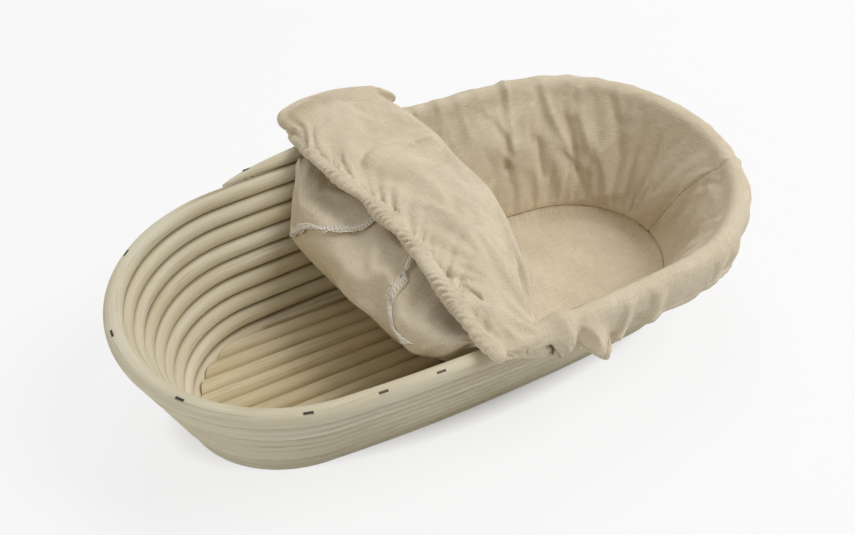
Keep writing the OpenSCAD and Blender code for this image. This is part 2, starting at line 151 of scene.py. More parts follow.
# Painted shade, with some dust, darkens the cane along the lines where one turn touches the next, wider
# on the outside
PAINTED_SHADE_AND_DUST = 0.8
touching = np.where(np.cos(turned) > 0, PAINTED_SHADE_AND_DUST * smooth((abs(upward) - 0.62) / 0.22),
                    PAINTED_SHADE_AND_DUST * smooth((abs(upward) - 0.83) / 0.14))
touching *= 1 - on_rim[:, None] * (upward > 0)


def sheet_mesh(bm, points, attribute=None, values=None):
    """A grid of create_grid's, laid to points[row, column], with an optional vector attribute."""
    rows, cols = points.shape[:2]
    layer = bm.verts.layers.float_vector.new(attribute) if attribute else None
    made = bmesh.ops.create_grid(bm, x_segments=cols - 1, y_segments=rows - 1, size=1)["verts"]
    for vert, place in zip(made, points.reshape(-1, 3)):
        vert.co = place
    if attribute:
        for vert, value in zip(made, values.reshape(-1, 3)):
            vert[layer] = value


bm = bmesh.new()
touch = bm.verts.layers.float.new("touching")
sheet_mesh(bm, wall_points, "straight", straight)
for vert, value in zip(bm.verts, touching.reshape(-1)):
    vert[touch] = value
bmesh.ops.remove_doubles(bm, verts=bm.verts, dist=1e-6)
bmesh.ops.holes_fill(bm, edges=[e for e in bm.edges if e.is_boundary], sides=0)
bmesh.ops.recalc_face_normals(bm, faces=bm.faces)


def linear(hex_colour):
    """An sRGB hex colour as the linear RGBA that Blender's sockets take."""
    parts = [int(hex_colour[i:i + 2], 16) / 255 for i in (1, 3, 5)]
    light = [c / 12.92 if c <= 0.04045 else ((c + 0.055) / 1.055) ** 2.4 for c in parts]
    return (*light, 1.0)


def add(material, kind, inputs=(), **settings):
    """A node of that kind: inputs sets sockets by name or number, or links them from other nodes."""
    tree = material.node_tree
    node = tree.nodes.new("ShaderNode" + kind)
    for key, value in settings.items():
        setattr(node, key, value)
    for key, value in dict(inputs).items():
        socket = node.inputs[key]
        if isinstance(value, bpy.types.NodeSocket):
            tree.links.new(value, socket)
        else:
            socket.default_value = value
    return node


def new_material(name):
    """A material by that name, and its shader."""
    material = bpy.data.materials.new(name)
    material.use_nodes = True
    return material, material.node_tree.nodes["Principled BSDF"]


def rattan(name, pale, tan, brown, coordinate, touching=None):
    """Peeled rattan core: matte and pale, with fine vessels along the cane that show as short
    brown dashes and shallow grooves, and slow changes of colour from one stretch to the next."""
    material, shader = new_material(name)
    place = coordinate(material)
    # Per metre, along the cane and across it: patches 18 mm wide, fibres 0.7 mm and vessels 1.6 mm,
    # the last two drawn a few times coarser than real ones so that they show
    patch_scale, fibre_scale, vessel_scale = (12, 55, 55), (45, 1500, 1500), (30, 620, 620)
    stretch = add(material, "Mapping", {"Vector": place, "Scale": patch_scale})
    patches = add(material, "TexNoise", {"Vector": stretch.outputs[0], "Scale": 1.0, "Detail": 3.0})
    fibre = add(material, "Mapping", {"Vector": place, "Scale": fibre_scale})
    fibres = add(material, "TexNoise", {"Vector": fibre.outputs[0], "Scale": 1.0, "Detail": 2.0})
    vessel = add(material, "Mapping", {"Vector": place, "Scale": vessel_scale})
    vessels = add(material, "TexNoise", {"Vector": vessel.outputs[0], "Scale": 1.0, "Detail": 1.0})
    tone = add(material, "ValToRGB", {"Fac": patches.outputs["Fac"]})
    tone.color_ramp.elements[0].position, tone.color_ramp.elements[1].position = 0.36, 0.66
    tone.color_ramp.elements[0].color, tone.color_ramp.elements[1].color = linear(tan), linear(pale)
    thin = add(material, "MapRange", {"Value": vessels.outputs["Fac"], 1: 0.58, 2: 0.74,
                                      3: 0.0, 4: 0.28})
    streaked = add(material, "MixRGB", {"Fac": thin.outputs[0], "Color1": tone.outputs[0],
                                        "Color2": linear(brown)})
    light = add(material, "MapRange", {"Value": fibres.outputs["Fac"], 1: 0.3, 2: 0.7,
                                       3: 0.94, 4: 1.04})
    shade = add(material, "MixRGB", {"Fac": 1.0, "Color1": streaked.outputs[0],
                                     "Color2": light.outputs[0]}, blend_type="MULTIPLY")
    # Painted shade, with some dust: where the turns touch, the colour is mixed towards brown
    if touching:
        painted_shade_and_dust_mix = add(material, "Math", {0: touching(material), 1: 0.6}, operation="MULTIPLY")
        shade = add(material, "MixRGB", {"Fac": painted_shade_and_dust_mix.outputs[0], "Color1": shade.outputs[0],
                                         "Color2": linear("#7a6541")})
    material.node_tree.links.new(shade.outputs[0], shader.inputs["Base Color"])
    groove = add(material, "Bump", {"Strength": 0.35, "Distance": 0.25 * MM,
                                    "Height": fibres.outputs["Fac"]})
    material.node_tree.links.new(groove.outputs[0], shader.inputs["Normal"])
    rough = add(material, "MapRange", {"Value": fibres.outputs["Fac"], 1: 0.3, 2: 0.7,
                                       3: 0.68, 4: 0.55})
    material.node_tree.links.new(rough.outputs[0], shader.inputs["Roughness"])
    shader.inputs["IOR"].default_value = 1.5
    shader.inputs["Specular IOR Level"].default_value = 0.35
    return material


wall_rattan = rattan("peeled rattan core, wound", "#e4dcc4", "#d6caab", "#957c55",
                     lambda m: add(m, "Attribute", attribute_name="straight").outputs["Vector"],
                     lambda m: add(m, "Attribute", attribute_name="touching").outputs["Fac"])


def piece(name, bm, body, material):
    """The bmesh as a finished, smooth object that rides on a body."""
    mesh = bpy.data.meshes.new(name)
    bm.to_mesh(mesh)
    bm.free()
    mesh.shade_smooth()
    mesh.materials.append(material)
    obj = bpy.data.objects.new(name, mesh)
    bpy.context.scene.collection.objects.link(obj)
    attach(obj, body)
    return obj


wall = piece("wound_cane_wall", bm, "basket", wall_rattan)
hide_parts("wall_coil")


# Floor: nine straight canes laid side by side lengthwise, cut to the oval and pinned to the
# base turn, with a split cane filling the bow at the front and at the back.
floor_rattan = rattan("peeled rattan core, straight", "#e2d6b7", "#d1c19b", "#8a7046",
                      lambda m: add(m, "TexCoord").outputs["Object"])
for name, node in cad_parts.items():
    if name.startswith(("floor_cane", "floor_filler")):
        node.data.materials.clear()
        node.data.materials.append(floor_rattan)


# Staples: narrow flat-wire staples, their crowns flush with the cane, dulled by handling.
staple_steel, shader = new_material("flat steel wire, dull")
spots = add(staple_steel, "TexNoise", {"Scale": 1 / (1.2 * MM), "Detail": 3.0,
                                       "Vector": add(staple_steel, "TexCoord").outputs["Object"]})
tarnish = add(staple_steel, "MixRGB", {"Fac": spots.outputs["Fac"], "Color1": linear("#2e2a25"),
                                       "Color2": linear("#5a544b")})
staple_steel.node_tree.links.new(tarnish.outputs[0], shader.inputs["Base Color"])
shader.inputs["Metallic"].default_value = 1.0
shader.inputs["Roughness"].default_value = 0.48
for name in ("rim_staples", "wall_staples", "floor_staples"):
    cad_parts[name].data.materials.clear()
    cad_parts[name].data.materials.append(staple_steel)


# Lined half: thin unbleached cotton in plain weave, sewn from an oval floor panel and two side
# panels.  The sides go up the wall, over the rim and down outside as a short gathered skirt.
CLOTH_T, CLOTH_GAP = 0.5 * MM, 0.6 * MM
# The end seam crosses the rim a little to the front of the lined end's middle
SEAM_TURN = math.radians(20)
seam_s = 2.5 - SEAM_TURN / end_sweep


def front_station(x):
    """Station on the front side at x along the basket."""
    return 1.5 + math.asin(x / side_r) / (2 * side_angle)


def back_station(x):
    """Station on the back side at x along the basket."""
    return 3.5 - math.asin(x / side_r) / (2 * side_angle)


def rim_level(s):
    """Level of the topmost turn, which is one higher behind than in front."""
    return TURNS + smooth(s - 2)


def along_path(points, count):
    """count points spaced evenly along a line of points."""
    gone = np.concatenate([[0], np.cumsum(np.linalg.norm(np.diff(points, axis=0), axis=1))])
    even = np.linspace(0, gone[-1], count)
    return np.stack([np.interp(even, gone, points[:, k]) for k in range(points.shape[1])], axis=1)


def curve_through(points, count):
    """count points spaced evenly along a smooth curve through the given ones."""
    ends = np.concatenate([2 * points[:1] - points[1:2], points, 2 * points[-1:] - points[-2:-1]])
    t = np.linspace(0, 1, 10, endpoint=False)[:, None]
    bits = [0.5 * (2 * b + (c - a) * t + (2 * a - 5 * b + 4 * c - d) * t ** 2
                   + (3 * b - a - 3 * c + d) * t ** 3)
            for a, b, c, d in zip(ends, ends[1:], ends[2:], ends[3:])]
    return along_path(np.concatenate(bits + [points[-1:]]), count)


def wall_section(s, gap, foot_z, drop, tuck):
    """Out and height, up the inside of the wall from foot_z, over the rim and drop down outside."""
    tilt = math.atan(float(step_out(np.array(s))) / turn_up)
    top_level = float(rim_level(np.array(s)))
    off = CANE_SHOWN_R + gap
    mid_out, mid_z = float(level_out(np.array(s), top_level)), float(level_z(top_level))
    rise = mid_z + off * math.sin(tilt) - foot_z
    line = [(mid_out - rise * math.tan(tilt) - off * math.cos(tilt), foot_z)]
    line += [(mid_out + off * math.cos(a), mid_z + off * math.sin(a))
             for a in np.linspace(math.pi - tilt, 0, 14)]
    line += [(mid_out + off - tuck * k * k, mid_z - drop * k) for k in np.linspace(0.1, 1, 10)]
    return np.array(line)


def wall_grid(stations, gap, foot_z, drops, tuck, rows):
    """Wall sections at the stations as a grid: one row for each station."""
    grid = []
    for s, drop in zip(stations, drops):
        section = along_path(wall_section(s, gap, foot_z, drop, tuck), rows)
        grid.append(np.stack([*oval(np.full(rows, s), section[:, 0]), section[:, 1]], axis=1))
    return np.array(grid)


def cut_places(points):
    """Where each point of a cloth grid lay in the flat cloth, in metres along weft and warp."""
    weft = np.cumsum(np.linalg.norm(np.diff(points, axis=1, prepend=points[:, :1]), axis=2), axis=1)
    warp = np.cumsum(np.linalg.norm(np.diff(points, axis=0, prepend=points[:1]), axis=2), axis=0)
    return np.stack([weft, warp, np.zeros_like(weft)], axis=-1)


def linen(name, pale, tan):
    """Plain-weave cotton, unbleached and washed: matte, with thick and thin places along both threads.
    Threads are drawn 0.8 mm apart, about twice as coarse as real ones, so that the weave shows."""
    thread, slub = 0.8 * MM, 9 * MM
    material, shader = new_material(name)
    place = add(material, "Attribute", attribute_name="cut").outputs["Vector"]
    drift = add(material, "TexNoise", {"Vector": place, "Scale": 1 / (40 * MM), "Detail": 3.0})
    weft = add(material, "Mapping", {"Vector": place, "Scale": (1 / slub, 1 / thread, 1)})
    wefts = add(material, "TexNoise", {"Vector": weft.outputs[0], "Scale": 1.0, "Detail": 1.0})
    warp = add(material, "Mapping", {"Vector": place, "Scale": (1 / thread, 1 / slub, 1)})
    warps = add(material, "TexNoise", {"Vector": warp.outputs[0], "Scale": 1.0, "Detail": 1.0})
    slubs = add(material, "Math", {0: wefts.outputs["Fac"], 1: warps.outputs["Fac"]}, operation="ADD")
    parts = add(material, "SeparateXYZ", {"Vector": place})
    waves = []
    for axis, uneven in (("X", warps), ("Y", wefts)):
        turn = add(material, "Math", {0: parts.outputs[axis], 1: math.pi / thread},
                   operation="MULTIPLY")
        bent = add(material, "Math", {0: uneven.outputs["Fac"], 1: 2.6, 2: turn.outputs[0]},
                   operation="MULTIPLY_ADD")
        waves.append(add(material, "Math", {0: bent.outputs[0]}, operation="SINE"))
    over = add(material, "Math", {0: waves[0].outputs[0], 1: waves[1].outputs[0]}, operation="MULTIPLY")
    tone = add(material, "ValToRGB", {"Fac": drift.outputs["Fac"]})
    tone.color_ramp.elements[0].position, tone.color_ramp.elements[1].position = 0.35, 0.65
    tone.color_ramp.elements[0].color, tone.color_ramp.elements[1].color = linear(tan), linear(pale)
    patchy = add(material, "MapRange", {"Value": slubs.outputs[0], 1: 0.7, 2: 1.3, 3: 0.90, 4: 1.07})
    weave = add(material, "MapRange", {"Value": over.outputs[0], 1: -1.0, 2: 1.0, 3: 0.91, 4: 1.06})
    both = add(material, "Math", {0: patchy.outputs[0], 1: weave.outputs[0]}, operation="MULTIPLY")
    shade = add(material, "MixRGB", {"Fac": 1.0, "Color1": tone.outputs[0], "Color2": both.outputs[0]},
                blend_type="MULTIPLY")
    material.node_tree.links.new(shade.outputs[0], shader.inputs["Base Color"])
    relief = add(material, "MapRange", {"Value": slubs.outputs[0], 1: 0.7, 2: 1.3, 3: -1.0, 4: 1.0})
    height = add(material, "Math", {0: relief.outputs[0], 1: over.outputs[0]}, operation="ADD")
    bump = add(material, "Bump", {"Strength": 0.5, "Distance": 0.12 * MM, "Height": height.outputs[0]})
    material.node_tree.links.new(bump.outputs[0], shader.inputs["Normal"])
    shader.inputs["Roughness"].default_value = 0.92
    shader.inputs["IOR"].default_value = 1.5
    shader.inputs["Specular IOR Level"].default_value = 0.15
    shader.inputs["Sheen Weight"].default_value = 0.12
    shader.inputs["Sheen Roughness"].default_value = 0.6
    return material


cotton = linen("unbleached cotton, plain weave", "#e9dbc0", "#decfb2")

# The basket as one smooth skin, for the cloth to lie on while it settles
SKIN_COLS, SKIN_ROWS = 161, 40
around = np.linspace(0, 3.9999, SKIN_COLS)
basket_skin = wall_grid(around, 0, 2 * MM, np.full(SKIN_COLS, 60 * MM), 24 * MM, SKIN_ROWS)

FLOOR_Z, SEAM_Z, WALL_ROWS, LINED_COLS = 10.4 * MM, 18 * MM, 50, 224
lined = np.linspace(front_station(-8 * MM), back_station(16 * MM), LINED_COLS)
up_wall = np.linspace(0, 1, WALL_ROWS)
# Along the front the skirt hangs in folds: place along x and how far down its edge is, in mm
SKIRT_EDGE = [(-8, 0.2), (6, 0.2), (11, 9), (14, 18.5), (17, 20), (30, 21), (37, 26), (40, 24),
              (44, 20), (51, 18.5), (62, 18), (75, 18), (95, 20)]
lined_x = oval(lined, 0 * lined)[0] / MM
by_x, by_drop = np.array(SKIRT_EDGE).T
beyond = smooth((lined - 2) * 12)
elsewhere = 19 + 1.0 * waver(lined * 16, 11)
drops = MM * ((1 - beyond) * np.interp(lined_x, by_x, by_drop) + beyond * elsewhere)
# At the back it draws up as it runs out under the fold
drops *= 1 - 0.6 * smooth((lined - lined[-1] + 0.2) / 0.2)
sides = wall_grid(lined, CLOTH_GAP, SEAM_Z, drops, 3 * MM, WALL_ROWS)
sides_cut = cut_places(sides)
# The end seam slants: it meets the floor seam further back than it crosses the rim
SEAM_SLANT = math.radians(20)
near_seam = np.exp(-((lined - seam_s) / 0.2) ** 2)
below_rim = np.clip(1 - np.linspace(0, 1.6, WALL_ROWS), 0, 1)
slant = SEAM_SLANT * near_seam[:, None] * below_rim[None, :]
from_x, from_y = sides[..., 0] - end_x, sides[..., 1].copy()
sides[..., 0] = end_x + from_x * np.cos(slant) - from_y * np.sin(slant)
sides[..., 1] = from_x * np.sin(slant) + from_y * np.cos(slant)


def crest(x, middle, left, right):
    """1 at the middle of a fold, falling to 0 over the widths to its left and its right."""
    return np.where(x < middle, smooth(1 - (middle - x) / left), smooth(1 - (x - middle) / right))


# A pouch opens between two folds that part below the rim, and smaller folds hang beside it: how
# far the skirt swings out, in mm, by the place along x and the depth below the front rim
FRONT_RIM_Z = 84
fold_x, fold_d = sides[..., 0] / MM, np.clip(FRONT_RIM_Z - sides[..., 2] / MM, 0, 40)
lip, ridge = 24 - 0.52 * fold_d, 24 + 0.42 * fold_d
pouch = smooth((fold_x - lip) / 1.8) * smooth((ridge - fold_x) / 4) * smooth((fold_d - 5) / 12)
swing = 2 + 5.5 * smooth((fold_x - lip + 16) / 16)
swing = swing * (1 - smooth((fold_x - lip) / 1.8)) * smooth(fold_d / 9)
swing += 7 * crest(fold_x, ridge, 3, 11) * smooth(fold_d / 7) - 5.5 * pouch
swing += 3.2 * crest(fold_x, 54 - 0.16 * fold_d, 4, 7) - 2 * crest(fold_x, 62, 5, 5)
swing += 3 * crest(fold_x, 72, 6, 9) - 2 * crest(fold_x, 78 + 1.1 * fold_d, 5, 5)
outside = smooth((up_wall - 0.66) / 0.25)[None, :]
gathers = (1.0 + 1.2 * waver(lined * 42, 12))[:, None]
swing = ((1 - beyond[:, None]) * swing + beyond[:, None] * gathers) * outside
facing = np.stack([np.cos(heading(lined)), np.sin(heading(lined)), 0 * lined], axis=1)
sides += facing[:, None] * (swing * MM)[..., None]
# The cloth bunches up on the front rim beside the fold, and ripples along the back rim
bunch = 4.5 * crest(lined_x, 12, 30, 16)[:, None] * (lined < 2)[:, None]
ripple = 1.2 * waver(lined * 55, 14) * smooth((lined - 2.7) / 0.2)
ripple = ripple + 2.8 * crest(lined, 3.02, 0.02, 0.03)
puff = bunch * crest(up_wall, 0.68, 0.25, 0.25)[None, :]
puff = puff + ripple[:, None] * crest(up_wall, 0.7, 0.12, 0.12)[None, :]
sides[..., 2] += puff * MM


SIM_SCALE = 10


def settle(points, hold, spare, frames, skin, bending=0.5):
    """Lets cloth that is cut a little larger than its place crease against the basket's skin, at
    ten times its size, where the solver is steady.  hold is how firmly each point stays, 0 to 1,
    and gravity is off, because the cloth already lies where it hangs."""
    scene = bpy.context.scene
    made = []
    for name, shape in (("skin", skin), ("cloth", points)):
        bm = bmesh.new()
        sheet_mesh(bm, shape * SIM_SCALE)
        mesh = bpy.data.meshes.new(name)
        bm.to_mesh(mesh)
        bm.free()
        made.append(bpy.data.objects.new(name, mesh))
        scene.collection.objects.link(made[-1])
    made[0].modifiers.new("collision", "COLLISION")
    made[0].collision.thickness_outer = 0.2 * MM * SIM_SCALE
    made[0].collision.cloth_friction = 8
    group = made[1].vertex_groups.new(name="hold")
    for index, weight in enumerate(hold.reshape(-1)):
        if weight > 0:
            group.add([index], float(weight), "REPLACE")
    cloth = made[1].modifiers.new("cloth", "CLOTH")
    setup = cloth.settings
    setup.vertex_group_mass = "hold"
    setup.quality, setup.mass = 6, 0.3
    setup.tension_stiffness = setup.compression_stiffness = 15
    setup.shear_stiffness, setup.bending_stiffness = 5, bending
    setup.tension_damping = setup.compression_damping = setup.shear_damping = 5
    setup.air_damping, setup.shrink_min = 1, -spare
    setup.effector_weights.gravity = 0
    cloth.collision_settings.collision_quality = 3
    cloth.collision_settings.distance_min = 0.4 * MM * SIM_SCALE
    cloth.point_cache.frame_start, cloth.point_cache.frame_end = 1, frames
    for moment in range(1, frames + 1):
        scene.frame_set(moment)
    shaped = made[1].evaluated_get(bpy.context.evaluated_depsgraph_get()).to_mesh()
    places = np.zeros(len(shaped.vertices) * 3)
    shaped.vertices.foreach_get("co", places)
    scene.frame_set(1)
    for obj in made:
        mesh = obj.data
        bpy.data.objects.remove(obj)
        bpy.data.meshes.remove(mesh)
    return places.reshape(points.shape) / SIM_SCALE


# The rim and the front folds are held in place, and the rest is free to crease
hold = np.zeros(sides.shape[:2])
hold += 0.75 * crest(up_wall, 0.68, 0.1, 0.14)[None, :]
hold = np.maximum(hold, (1 - beyond[:, None]) * outside)
hold[:, 0] = hold[:, -1] = hold[0] = hold[-1] = 1
sides = settle(sides, hold, 0.02, 30, basket_skin, bending=0.3)
# Sharp creases, each with a hollow along one side, run down from the rim and across the wall: height
# in mm, then stations and rows along each
CREASES = [(1.9, (3.02, 34), (3.03, 24), (3.06, 16)),
           (1.1, (2.95, 33), (2.956, 29), (2.99, 23), (3.04, 18)),
           (1.5, (2.922, 34), (2.905, 26), (2.88, 21), (2.846, 15)),
           (1.5, (2.829, 33), (2.82, 25), (2.786, 17)),
           (1.1, (2.854, 27), (2.829, 18)), (1.0, (2.735, 33), (2.718, 28)),
           (1.1, (2.692, 24), (2.761, 15)), (1.0, (2.6, 29), (2.548, 22)),
           (1.4, (3.084, 12), (3.152, 9)), (0.9, (2.888, 18), (2.803, 12)),
           (1.2, (2.735, 4), (2.624, 7)), (1.6, (2.616, 18), (2.573, 10), (2.488, 3)),
           (1.0, (2.395, 31), (2.327, 26)), (1.2, (2.352, 18), (2.335, 26))]
# A station round the lined end is about 240 mm of cloth, and a row about 2.2 mm
STATION_MM, ROW_MM = 240, 2.2
place = np.stack(np.broadcast_arrays(lined[:, None] * STATION_MM,
                                     np.arange(WALL_ROWS)[None, :] * ROW_MM), axis=-1)


def from_line(place, start, end):
    """Distance of each place from the line between two points, and which side of it each is on."""
    start, end = np.array(start), np.array(end)
    ahead = (end - start) / np.linalg.norm(end - start)
    gone = np.clip((place - start) @ ahead, 0, np.linalg.norm(end - start))
    off = place - start - gone[..., None] * ahead
    return np.linalg.norm(off, axis=-1), np.sign(off @ np.array([-ahead[1], ahead[0]]))


for height, *line in CREASES:
    line = [(s * STATION_MM, row * ROW_MM) for s, row in line]
    parts = [from_line(place, a, b) for a, b in zip(line, line[1:])]
    near = np.argmin([far for far, way in parts], axis=0)
    far, way = (np.choose(near, [part[k] for part in parts]) for k in (0, 1))
    hollow = 0.45 * np.exp(-((far - 4.5) / 3) ** 2) * (way > 0)
    rise = np.exp(-(far / 2.0) ** 2) - hollow
    sides -= facing[:, None] * (height * MM * rise)[..., None]
# The floor panel spans from the front half of the floor seam to the back half, turned up at its
# edge, with a few low creases from x and y to x and y, and their height, in mm
FLOOR_CREASES = [((62, 6), (101, 9), 0.8), ((46, -25), (122, -25), 0.9),
                 ((58, -22), (97, -13), 0.7), ((88, 28), (126, 14), 0.7)]
half = LINED_COLS // 2
seam_front, seam_back = sides[:half, 0], sides[:half - 1:-1, 0]
across = 0.5 - 0.5 * np.cos(np.linspace(0, math.pi, 49))
floor_grid = seam_front[:, None] + (seam_back - seam_front)[:, None] * across[None, :, None]
to_seam = np.linalg.norm(floor_grid[:, :, None, :2] - sides[None, None, ::2, 0, :2], axis=3).min(axis=2)
to_seam[0] = to_seam[1]
floor_grid[..., 2] = FLOOR_Z + (SEAM_Z - FLOOR_Z) * np.clip(1 - to_seam / (7 * MM), 0, 1) ** 1.6
unlevel = 1 + waver(floor_grid[..., 0] * 160 + floor_grid[..., 1] * 70, 4)
floor_grid[..., 2] += 0.3 * MM * unlevel * smooth(to_seam / (6 * MM))
for start, end, height in FLOOR_CREASES:
    far = from_line(floor_grid[..., :2] / MM, start, end)[0]
    floor_grid[..., 2] += height * MM * np.exp(-(far / 1.8) ** 2)
floor_grid[:, (0, -1)] = np.stack([seam_front, seam_back], axis=1)


def cloth_piece(name, points, cut, node, material, rounded=True):
    """A sheet of the liner's cloth with its real thickness, in the place of a CAD node."""
    bm = bmesh.new()
    sheet_mesh(bm, points, "cut", cut)
    bmesh.ops.remove_doubles(bm, verts=bm.verts, dist=1e-6)
    bmesh.ops.recalc_face_normals(bm, faces=bm.faces)
    obj = piece(name, bm, "liner", material)
    if rounded:
        rounding = obj.modifiers.new("rounding", "SUBSURF")
        rounding.levels = rounding.render_levels = 1
    body = obj.modifiers.new("thickness", "SOLIDIFY")
    body.thickness, body.offset = CLOTH_T, 0
    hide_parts(node)
    return obj


# The foot of the sides lies just behind the floor panel's edge
sides[:, 0] += facing * 0.6 * MM
floor_panel = cloth_piece("liner_floor_panel", floor_grid, floor_grid, "liner_floor", cotton)
# Each side panel's edge turns under at the end seam, which gapes by a part of a column
SEAM_DEPTH, SEAM_GAPE = 1.3 * MM, 0.3
seam_col = int(np.argmin(abs(lined - seam_s)))
seam, seam_cut = sides[seam_col:seam_col + 1], sides_cut[seam_col:seam_col + 1]
under_seam = seam + facing[seam_col] * SEAM_DEPTH
apart = SEAM_GAPE * (sides[seam_col + 1] - sides[seam_col - 1])
front_side = cloth_piece("liner_side_front",
                         np.concatenate([sides[:seam_col], seam - apart, under_seam]),
                         np.concatenate([sides_cut[:seam_col + 1], seam_cut]),
                         "liner_front_panel", cotton)
back_side = cloth_piece("liner_side_back",
                        np.concatenate([under_seam, seam + apart, sides[seam_col + 1:]]),
                        np.concatenate([seam_cut, sides_cut[seam_col:]]),
                        "liner_back_panel", cotton)


# Skirt hem: the skirt's edge turned up over a thin elastic cord that gathers it under the rim.
def pleats(run, seed, spacing):
    """Rise and fall of gathers along an elastic: soft crowns and sharp hollows, unevenly spaced."""
    uneven = 1 + 0.55 * np.clip(waver(run / MM * 0.16, seed), -1.2, 1.4)
    turn = np.cumsum(np.gradient(run) * math.pi / (spacing * uneven))
    deep = np.clip(0.6 + 0.6 * waver(run / MM * 0.12, seed + 1), 0.12, 1.2)
    return deep * (abs(np.sin(turn)) ** 0.7 - 0.65) * 2


def gathered_hem(name, path, wide, high, spacing, depth, seed, nodes):
    """A turned-up hem as a soft flat tube, puckered by the elastic that runs in it."""
    step, ring = 0.6 * MM, 20
    length = np.linalg.norm(np.diff(path, axis=0), axis=1).sum()
    path = curve_through(path, int(length / step))
    ahead = np.gradient(path, axis=0)
    ahead /= np.linalg.norm(ahead, axis=1)[:, None]
    side = np.cross(ahead, [0, 0, 1.0])
    side /= np.linalg.norm(side, axis=1)[:, None]
    up = np.cross(side, ahead)
    run = np.linspace(0, length, len(path))
    turn = np.linspace(0, 2 * math.pi, ring + 1)
    # The puckers cross the hem at a slant
    slant = 3.4 * MM * np.cos(turn) + 0.8 * MM * np.sin(turn * 2)
    lift = np.stack([np.interp(run + k, run, pleats(run, seed, spacing)) for k in slant], axis=1)
    swell = 1 + 0.15 * waver(run * 120, seed + 2)[:, None] + depth * lift
    swell *= smooth(np.minimum(run, length - run) / (4 * MM) + 0.25)[:, None]
    tube = path[:, None] + side[:, None] * (wide * swell * np.cos(turn))[..., None]
    tube += up[:, None] * (high * swell * np.sin(turn))[..., None]
    bm = bmesh.new()
    cut = [np.repeat(run[:, None], ring + 1, 1), 0 * lift + wide * turn, 0 * lift]
    sheet_mesh(bm, tube, "cut", np.stack(cut, axis=-1))
    bmesh.ops.remove_doubles(bm, verts=bm.verts, dist=1e-6)
    bmesh.ops.holes_fill(bm, edges=[e for e in bm.edges if e.is_boundary], sides=0)
    bmesh.ops.recalc_face_normals(bm, faces=bm.faces)
    obj = piece(name, bm, "liner", cotton)
    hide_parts(*nodes)


hem_start = int(np.argmax(lined_x > 8))
gathered_hem("skirt_gathered_hem", sides[hem_start:-2:3, -1], 1.3 * MM, 2.6 * MM, 6 * MM, 0.16, 21,
             ("skirt_hem", "skirt_elastic"))


# Folded half, lower layer: the cloth leaves the walls and the floor, rises to a soft roll over the
# bare half and turns back to the right, inside out, so its seams show.  Points are in mm, from front
# to back: where it leaves the basket, the left edge of the roll, and the hem of the layer above.
LEAVES = [(8, -87, 79), (8, -74.5, 55), (8, -60.5, 28), (8, -52, 13.2), (12, -22, 11.6), (18, 0, 11.6),
          (27, 26, 11.6), (33, 51, 13), (33, 60.5, 29), (33, 74.5, 56), (32, 88, 83)]
ROLL = [(-26, -82, 77), (-38, -73, 71), (-46, -60, 65), (-49, -45, 62), (-53, -19, 58), (-57, 2, 56),
        (-58, 26, 53), (-61, 56, 52), (-60, 66, 57), (-54, 75, 68), (-47, 84, 82)]
HEM = [(-22, -99, 80), (-25, -96, 84), (-27, -85, 85), (-26, -54, 86), (-25, -23, 88), (-26, 3, 89),
       (-30, 31, 90), (-37, 60, 92), (-40, 76, 94), (-39, 97, 90)]


def hem_at(y):
    """x and z of the hem at y."""
    return [np.interp(y, [p[1] for p in HEM], [p[k] for p in HEM]) for k in (0, 2)]


def cloth_net(points, rows, cols):
    """A smooth grid of rows by cols through a coarse net of points, given in millimetres."""
    across = np.array([curve_through(np.array(row, float) * MM, cols) for row in points])
    return np.stack([curve_through(across[:, k], rows) for k in range(cols)], axis=1)


lower_rows = []
for (ux, uy, uz), (rx, ry, rz) in zip(LEAVES, ROLL):
    hx, hz = hem_at(ry)
    row = [(ux, uy, uz)]
    # Below the roll: how far up and how far along each point is, and how far back it is pushed
    for up, along_x, back_off in ((0.05, 0.35, 0.3), (0.2, 0.62, 0.9), (0.6, 0.86, 0.75)):
        z = uz + up * (rz - uz)
        row.append((max(rx + 0.75 * (rz - z), ux + along_x * (rx - ux)),
                    uy + along_x * (ry - uy) + back_off * (rz - z) * smooth((-ry - 10) / 30), z))
    # Round the roll, and on under the hem
    row += [(rx, ry, rz - 1), (rx + 2.5, ry, rz + 5),
            (rx + 0.3 * (hx - rx) + 1, ry, rz + 0.5 * (hz - 7 - rz) + 2),
            (rx + 0.65 * (hx - rx), ry, rz + 0.85 * (hz - 7 - rz) + 1),
            (hx, ry, hz - 6.5), (hx + 14, ry, hz - 6), (hx + 28, ry, hz - 8)]
    lower_rows.append(row)
LOWER_ROWS, LOWER_COLS = 80, 72
lower = cloth_net(lower_rows, LOWER_ROWS, LOWER_COLS)
lower_cut = cut_places(lower)
lower_hold = np.zeros(lower.shape[:2])
lower_hold[0] = lower_hold[-1] = lower_hold[:, 0] = lower_hold[:, -1] = 1
lower = settle(lower, lower_hold, 0.03, 20, basket_skin)
lower_layer = cloth_piece("fold_lower_layer", lower, lower_cut, "liner_fold_under", cotton)


# Seam allowances: the overlocked raw edges of the two floor seams, which lie on the lower layer's
# upper face, each held by a zigzag of thread.
def grid_normals(points):
    """Unit normals of a grid of points."""
    out = np.cross(np.gradient(points, axis=0), np.gradient(points, axis=1))
    return out / np.linalg.norm(out, axis=2)[..., None]


def on_grid(values, row, col):
    """values at fractions of a row and a column, between its four neighbours."""
    r, c = np.clip(int(row), 0, values.shape[0] - 2), np.clip(int(col), 0, values.shape[1] - 2)
    u, v = row - r, col - c
    return ((values[r, c] * (1 - v) + values[r, c + 1] * v) * (1 - u)
            + (values[r + 1, c] * (1 - v) + values[r + 1, c + 1] * v) * u)


# The face of the lower layer that shows looks up past the roll
lower_face = grid_normals(lower)
if lower_face[40, 50, 2] < 0:
    lower_face = -lower_face
